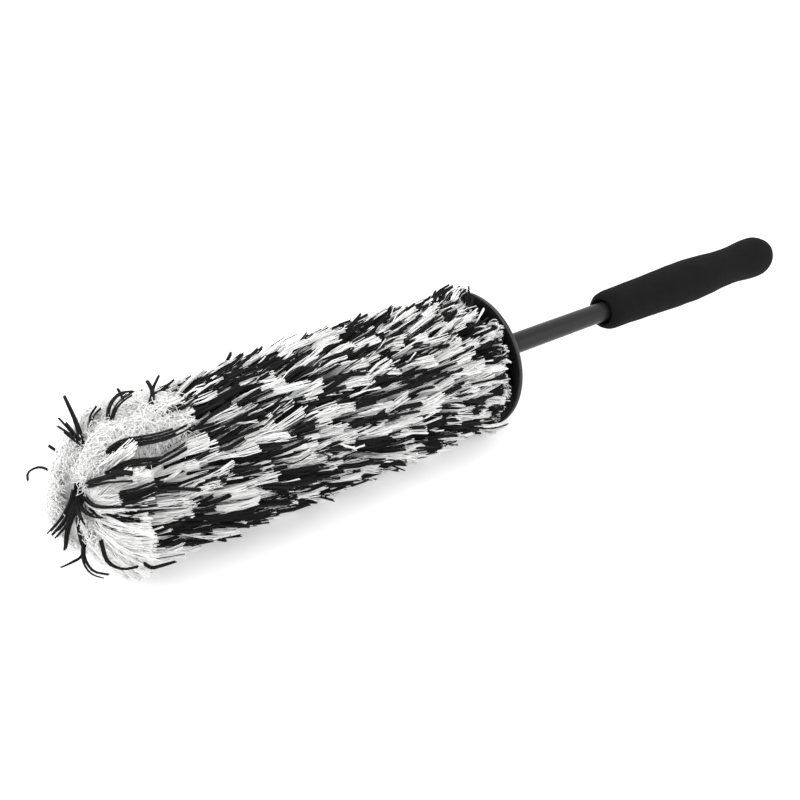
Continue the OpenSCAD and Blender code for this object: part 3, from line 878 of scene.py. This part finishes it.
class BRUSH_OT_pile(bpy.types.Operator):
    """Grows the fleece and the white and black microfibre tufts over the cover"""

    bl_idname = "brush.pile"
    bl_label = "Microfibre pile"

    def execute(self, context):
        pile = context.scene.brush_pile
        rng = np.random.default_rng(pile.seed)
        white_yarn = yarn_material("white_microfibre", pile.white, 0.88, 1.07, 0.9, 0.2, 0.25, 0.5)
        # A brighter copy of the white yarn for the curly fluff: the raised dark end of its tone is painted light, so
        # that the fluff reads brightly lit. Its stronger subsurface and sheen are real shading.
        painted_light_fluff = yarn_material("white_fluff_painted_light", pile.white, 1.0, 1.07, 0.9, 0.2, 0.4, 0.8)
        black_yarn = yarn_material("black_microfibre", pile.black, 0.5, 1.8, 0.85, 0.1, 0.0, 0.0)
        white, black, fluff, lone = Tufts(), Tufts(), Tufts(), Tufts()
        self.spread_fleece(rng, pile.white)
        self.grow_side(rng, pile, white, black)
        self.grow_strays(rng, pile, white, black)
        self.grow_end(rng, pile, white, black)
        self.grow_fluff(rng, fluff)
        self.grow_lone(rng, lone)
        white.make("white_tufts", "white_microfibre", white_yarn, "white_pile", pile.strand_d)
        black.make("black_tufts", "black_microfibre", black_yarn, "black_pile", pile.strand_d)
        fluff.make("white_fluff", "white_microfibre", painted_light_fluff, "white_pile", pile.strand_d * 0.68)
        lone.make("lone_locks", "black_microfibre", black_yarn, "black_pile", pile.strand_d)
        return {"FINISHED"}

    def roots(self, rng, pile):
        """Places of the tufts in rows from the rounded end to the guard, every other row shifted by half a tuft."""
        s_first = BACKING_R - CORNER_R + 3 * MM
        s_last = outline_at(BACKING_MOUTH - 2 * MM)
        rows = int((s_last - s_first) / pile.row_gap)
        s_rows = np.linspace(s_first, s_last, rows)
        per_row = np.maximum(np.round(pile.columns * outline(s_rows)[1] / BACKING_R), 6).astype(int)
        row = np.repeat(np.arange(rows), per_row)
        step = np.arange(len(row)) - np.repeat(np.cumsum(per_row) - per_row, per_row)
        m = len(row)
        theta = (step + 0.5 * (row % 2) + rng.uniform(-0.45, 0.45, m)) / per_row[row] * 2 * np.pi
        return s_rows[row] + rng.uniform(-0.5, 0.5, m) * pile.row_gap, theta

    def spread_fleece(self, rng, colour):
        """The fleece under the tufts: the backing's outline raised by the fleece's height and small random lumps."""
        s = np.concatenate([np.linspace(0.02 * MM, 45 * MM, 60), np.linspace(47 * MM, outline_at(PILE_FROM), 110)])
        columns = 150
        theta = np.linspace(0, 2 * np.pi, columns, endpoint=False)
        s, theta = np.meshgrid(s, theta, indexing="ij")
        lumps = Waves(rng, (5 * MM, 4 * MM))(s, np.abs(np.sin(theta / 2)) * 90 * MM)
        height = fleece_height(s, theta) + 0.7 * MM * lumps * ease(0.1, 1, s / (12 * MM))
        inside = np.full_like(height, 0.15 * MM)
        x, r, nx, nr = (np.concatenate([v, v[::-1]]) for v in outline(s))
        h, theta = np.concatenate([height, inside[::-1]]), np.concatenate([theta, theta[::-1]])
        r = np.maximum(r + h * nr, 0.02 * MM)
        points = round_axis(x + h * nx, r, theta).reshape(-1, 3)
        points[:, 2] = np.maximum(points[:, 2], 1.5 * MM)
        fleece = surface_material("fleece", colour, 0.1, (0.9, 1.0), 260.0, 1300.0, 0.0012, mix=0.6, sheen=0.2)
        obj = new_object("fleece", points, closed_faces(len(h), columns), BODY_COVER, fleece)
        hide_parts("white_pile")

    def grow_side(self, rng, pile, white, black):
        """Flat locks of both colours that lie back along the head.

        The top and far side are white and low up to fluffy_to along the outline, and there is little black up to
        pale_to. A few black locks stand proud. Beside the guard, half of the locks at the top and on the lower
        near side reach past its rim."""
        fluffy_to, pale_to = 27 * MM, 18 * MM
        s0, theta = self.roots(rng, pile)
        m = len(s0)
        p, q = s0 / (13 * MM), theta * BACKING_R / (5 * MM)
        patch, flow = Waves(rng, (2.0, 1.0)), Waves(rng, (1.2, 0.8))
        score = 0.18 * patch(p, q) + rng.normal(0, 1, m) - 1.2 * (s0 < pale_to)
        fluffy = (s0 < fluffy_to) & (np.cos(theta - 0.3) > -0.3)
        is_black = (score > np.quantile(score, 1 - pile.black_share)) & ~fluffy
        run = np.where(is_black, rng.uniform(18, 34, m), rng.uniform(20, 33, m)) * MM
        stop = PILE_FROM - rng.uniform(0.0, 5.0, m) * MM
        run = np.minimum(run, np.maximum(run - (outline(s0 + run)[0] - stop), 3 * MM))
        height = pile_height(outline(s0 + run)[0]) * rng.uniform(0.66, 1.02, m)
        proud = is_black & (rng.uniform(0, 1, m) < 0.08)
        height = np.where(proud, height * rng.uniform(1.05, 1.4, m), height * np.where(fluffy, 0.65, 1))
        lean = np.where(proud, 1.1, rng.uniform(0.0, 0.7, m))
        past = (np.cos(theta - 0.95) > 0.75) | (np.cos(theta + 2.15) > 0.956)
        past &= (outline(s0 + 24 * MM)[0] > PILE_FROM) & (rng.uniform(0, 1, m) < 0.5)
        height = np.where(past, GUARD_R + rng.uniform(1.9, 3.1, m) * MM - BACKING_R, height)
        lean = np.where(past, rng.uniform(0.0, 0.2, m), lean)
        run = np.where(past, PILE_FROM + rng.uniform(0, 6, m) * MM - outline(s0)[0], run)
        sway = (flow(p, q) * 3.0 + rng.normal(0, 2.6, m)) * MM
        wave = rng.normal(0, 0.8, m) * MM
        roll = rng.normal(0, 0.22, m) + np.where(is_black, rng.normal(0, 0.35, m), 0)
        lines = combed(s0, theta, run, height, sway, wave, rng.uniform(0, 2 * np.pi, m), lean, roll)
        wide = np.where(is_black, rng.uniform(1.6, 4.0, m), rng.uniform(2.2, 5.4, m)) * MM
        wide = np.where(proud, 0.6 * wide, wide)
        deep = np.where(is_black, rng.uniform(1.1, 2.0, m), rng.uniform(0.9, 1.8, m)) * MM
        deep = np.where(past, 0.8 * MM, deep)
        count = np.clip(pile.strands * wide / (5 * MM), 8, 40).astype(int)
        count = np.where(is_black, np.maximum(count, 13), count)
        ragged = rng.choice([0.04, 0.12, 0.3], m, p=[0.5, 0.35, 0.15]) * np.where(is_black, 0.8, 1.2)
        curl = np.where(is_black, rng.uniform(0.04, 0.2, m), rng.uniform(0.2, 0.75, m)) * MM
        curl = np.where(past, 0.4 * curl, curl)
        for chosen, store, cross in ((~is_black, white, 0.7 * MM), (is_black, black, 0.12 * MM)):
            store.add(*fan_out(
                rng, [line[chosen] for line in lines], (wide[chosen] * 0.45, wide[chosen]),
                (deep[chosen], deep[chosen]), count[chosen], STRAIGHT, ragged[chosen], curl[chosen], cross))

    def grow_strays(self, rng, pile, white, black):
        """Thin ends of one to four strands that cross over the locks."""
        s0, theta = self.roots(rng, pile)
        some = rng.permutation(len(s0))[:420]
        s0, theta, m = s0[some], theta[some], len(some)
        run = rng.uniform(14, 26, m) * MM
        run = np.minimum(run, np.maximum(run - (outline(s0 + run)[0] - PILE_FROM), 3 * MM))
        height = pile_height(outline(s0 + run)[0]) * rng.uniform(0.95, 1.16, m)
        lines = combed(
            s0, theta, run, height, rng.normal(0, 4, m) * MM, rng.normal(0, 1.5, m) * MM,
            rng.uniform(0, 2 * np.pi, m), rng.uniform(0.1, 0.8, m), rng.normal(0, 0.3, m))
        is_black = rng.uniform(0, 1, m) < 0.4
        for chosen, store in ((~is_black, white), (is_black, black)):
            n = chosen.sum()
            store.add(*fan_out(
                rng, [line[chosen] for line in lines], (np.full(n, 0.5 * MM), np.full(n, 1.0 * MM)),
                (np.full(n, 0.4 * MM), np.full(n, 0.5 * MM)), rng.integers(1, 5, n), STRAIGHT,
                np.full(n, 0.3), np.full(n, 0.4 * MM)))

    def grow_end(self, rng, pile, white, black):
        """Locks on the near half of the closed end, parted from the far half by the seam.

        They rise off the end and turn over the shoulder."""
        m = 210
        z0 = rng.uniform(-17, 10, m) * MM
        y0 = -rng.uniform(1.6, 12, m) * MM
        spread = np.arctan2(z0 * 0.95 + rng.normal(0, 2.5, m) * MM, -10 * MM)
        lines = fountain(
            y0, z0, spread, rng.uniform(20, 33, m) * MM * ease(1, 0.7, (z0 + 3 * MM) / (-9 * MM)),
            rng.uniform(66, 84, m) + ease(0, 10, z0 / (8 * MM)), rng.uniform(128, 162, m), rng.normal(0, 0.5, m))
        is_black = (rng.uniform(0, 1, m) < 0.2) & (z0 < 5 * MM)
        for chosen, store, widths in ((~is_black, white, (3, 6)), (is_black, black, (1.6, 3.4))):
            n = chosen.sum()
            wide = rng.uniform(*widths, n) * MM
            count = np.clip(pile.strands * wide / (5 * MM), 12, 40).astype(int)
            store.add(*fan_out(
                rng, [line[chosen] for line in lines], (wide * 0.4, wide),
                (np.full(n, 1.2 * MM), np.full(n, 1.6 * MM)), count, STRAIGHT, rng.uniform(0.05, 0.4, n),
                rng.uniform(0.2, 0.9, n) * MM, 0.5 * MM))

    def grow_fluff(self, rng, fluff):
        """Curly fibres over the fleece: thick on the far half of the end and its top, thin on the near half."""
        places = ((4800, (5, 40), (-95, 95)), (3600, (14, 52), (62, 128)), (800, (6, 24), (215, 250)))
        for n, (s_from, s_to), (a_from, a_to) in places:
            s, theta = rng.uniform(s_from, s_to, n) * MM, np.radians(rng.uniform(a_from, a_to, n))
            clear = (np.cos(theta) * s > 4.5 * MM) | (s > 20 * MM) | (a_from > 0)
            s, theta, n = s[clear], theta[clear], clear.sum()
            lift = fleece_height(s, theta) + rng.uniform(-0.5, 2.6, n) * MM
            lift = lift + 4.5 * MM * (a_from > 0) * ease(0, 1, (s - 20 * MM) / (8 * MM))
            heading = rng.normal(0, 1.1, n)
            fluff.add(*curls(rng, s, theta, lift, heading, rng.uniform(6, 13, n) * MM, rng.uniform(0.4, 1.5, n) * MM))

    def grow_lone(self, rng, lone):
        """The black locks that stand out singly round the end seam."""
        for root, tip, *places in LONE_LOCKS:
            lines = [line[None] for line in draw_lock(places)]
            widths = (np.array([root * MM]), np.array([tip * MM]))
            lone.add(*fan_out(
                rng, lines, widths, (widths[0] * 0.5, widths[1] * 0.5), np.array([int(8 * max(root, tip)) + 2]),
                LONE, np.array([0.2]), np.array([0.12 * MM]), bundle=0.9 * MM))


class BRUSH_OT_stage(bpy.types.Operator):
    """Sets the pale floor, the soft lights and the camera"""

    bl_idname = "brush.stage"
    bl_label = "Stage"

    def execute(self, context):
        stage = context.scene.brush_stage
        self.floor(stage)
        self.lights()
        self.camera(context, stage)
        return {"FINISHED"}

    def floor(self, stage):
        """A wide pale plane that gives off a little light of its own."""
        material, _, shader = new_material("pale_floor", 0.95, specular=0.1)
        set_inputs(shader, {
            "Base Color": (*stage.floor, 1), "Emission Color": (1, 1, 1, 1), "Emission Strength": stage.glow})
        half = stage.floor_size / 2
        mesh = bpy.data.meshes.new("floor")
        mesh.from_pydata([(-half, -half, 0), (half, -half, 0), (half, half, 0), (-half, half, 0)], [], [(0, 1, 2, 3)])
        mesh.materials.append(material)
        obj = placed("floor", mesh)

    def lights(self):
        """A bright even surround, a wide soft box above and behind, and a weaker one from the camera's left."""
        world = bpy.data.worlds.new("studio")
        bpy.context.scene.world = world
        world.use_nodes = True
        set_inputs(world.node_tree.nodes["Background"], {"Color": (1, 1, 1, 1), "Strength": 1.05})
        boxes = (
            ("top_box", (0.1, 0.35, 1.3), 1.1, 7.0),
            ("left_box", (-1.1, -0.2, 0.8), 0.8, 10.0),
            ("right_box", (0.5, -1.1, 0.5), 0.8, 7.0))
        for name, place, size, power in boxes:
            light = bpy.data.lights.new(name, "AREA")
            light.size = size
            light.energy = power
            obj = placed(name, light)
            obj.location = place
            obj.rotation_euler = (Vector((-0.05, 0, 0.03)) - Vector(place)).to_track_quat("-Z", "Y").to_euler()
        bpy.context.scene.view_settings.view_transform = "Standard"

    def camera(self, context, stage):
        """The camera stands off the guard's rim by a set offset and looks along its azimuth and elevation."""
        camera = bpy.data.cameras.new("camera")
        camera.lens = stage.lens
        camera.sensor_width = 36.0
        camera.clip_start = 0.01
        obj = placed("camera", camera)
        a, e = np.radians(stage.azimuth), np.radians(stage.elevation)
        forward = Vector((-np.sin(a) * np.cos(e), np.cos(a) * np.cos(e), -np.sin(e)))
        rim = Vector((span("guard_disc", 0)[0] + 0.1 * MM, 0, AXIS_Z))
        obj.location = rim + Vector(stage.stand)
        obj.rotation_euler = forward.to_track_quat("-Z", "Y").to_euler()
        context.scene.camera = obj


class BRUSH_PT_panel(bpy.types.Panel):
    """Lists the steps that build the brush"""

    bl_idname = "BRUSH_PT_panel"
    bl_label = "Wheel brush"
    bl_space_type = "VIEW_3D"
    bl_region_type = "UI"
    bl_category = "Wheel brush"

    def draw(self, context):
        for operator in OPERATORS:
            self.layout.operator(operator.bl_idname)


OPERATORS = (
    BRUSH_OT_stage, BRUSH_OT_shaft, BRUSH_OT_grip, BRUSH_OT_guard, BRUSH_OT_core, BRUSH_OT_backing, BRUSH_OT_pile)
CLASSES = (PileSettings, HandleSettings, StageSettings, *OPERATORS, BRUSH_PT_panel)
SETTINGS = {"brush_pile": PileSettings, "brush_handle": HandleSettings, "brush_stage": StageSettings}


def register():
    for cls in CLASSES:
        bpy.utils.register_class(cls)
    for name, cls in SETTINGS.items():
        setattr(bpy.types.Scene, name, PointerProperty(type=cls))


def unregister():
    for name in SETTINGS:
        delattr(bpy.types.Scene, name)
    for cls in reversed(CLASSES):
        bpy.utils.unregister_class(cls)


def main():
    """Builds every piece in order."""
    register()
    bpy.ops.brush.stage()
    bpy.ops.brush.shaft()
    bpy.ops.brush.grip()
    bpy.ops.brush.guard()
    bpy.ops.brush.core()
    bpy.ops.brush.backing()
    bpy.ops.brush.pile()


if __name__ == "__main__":
    main()
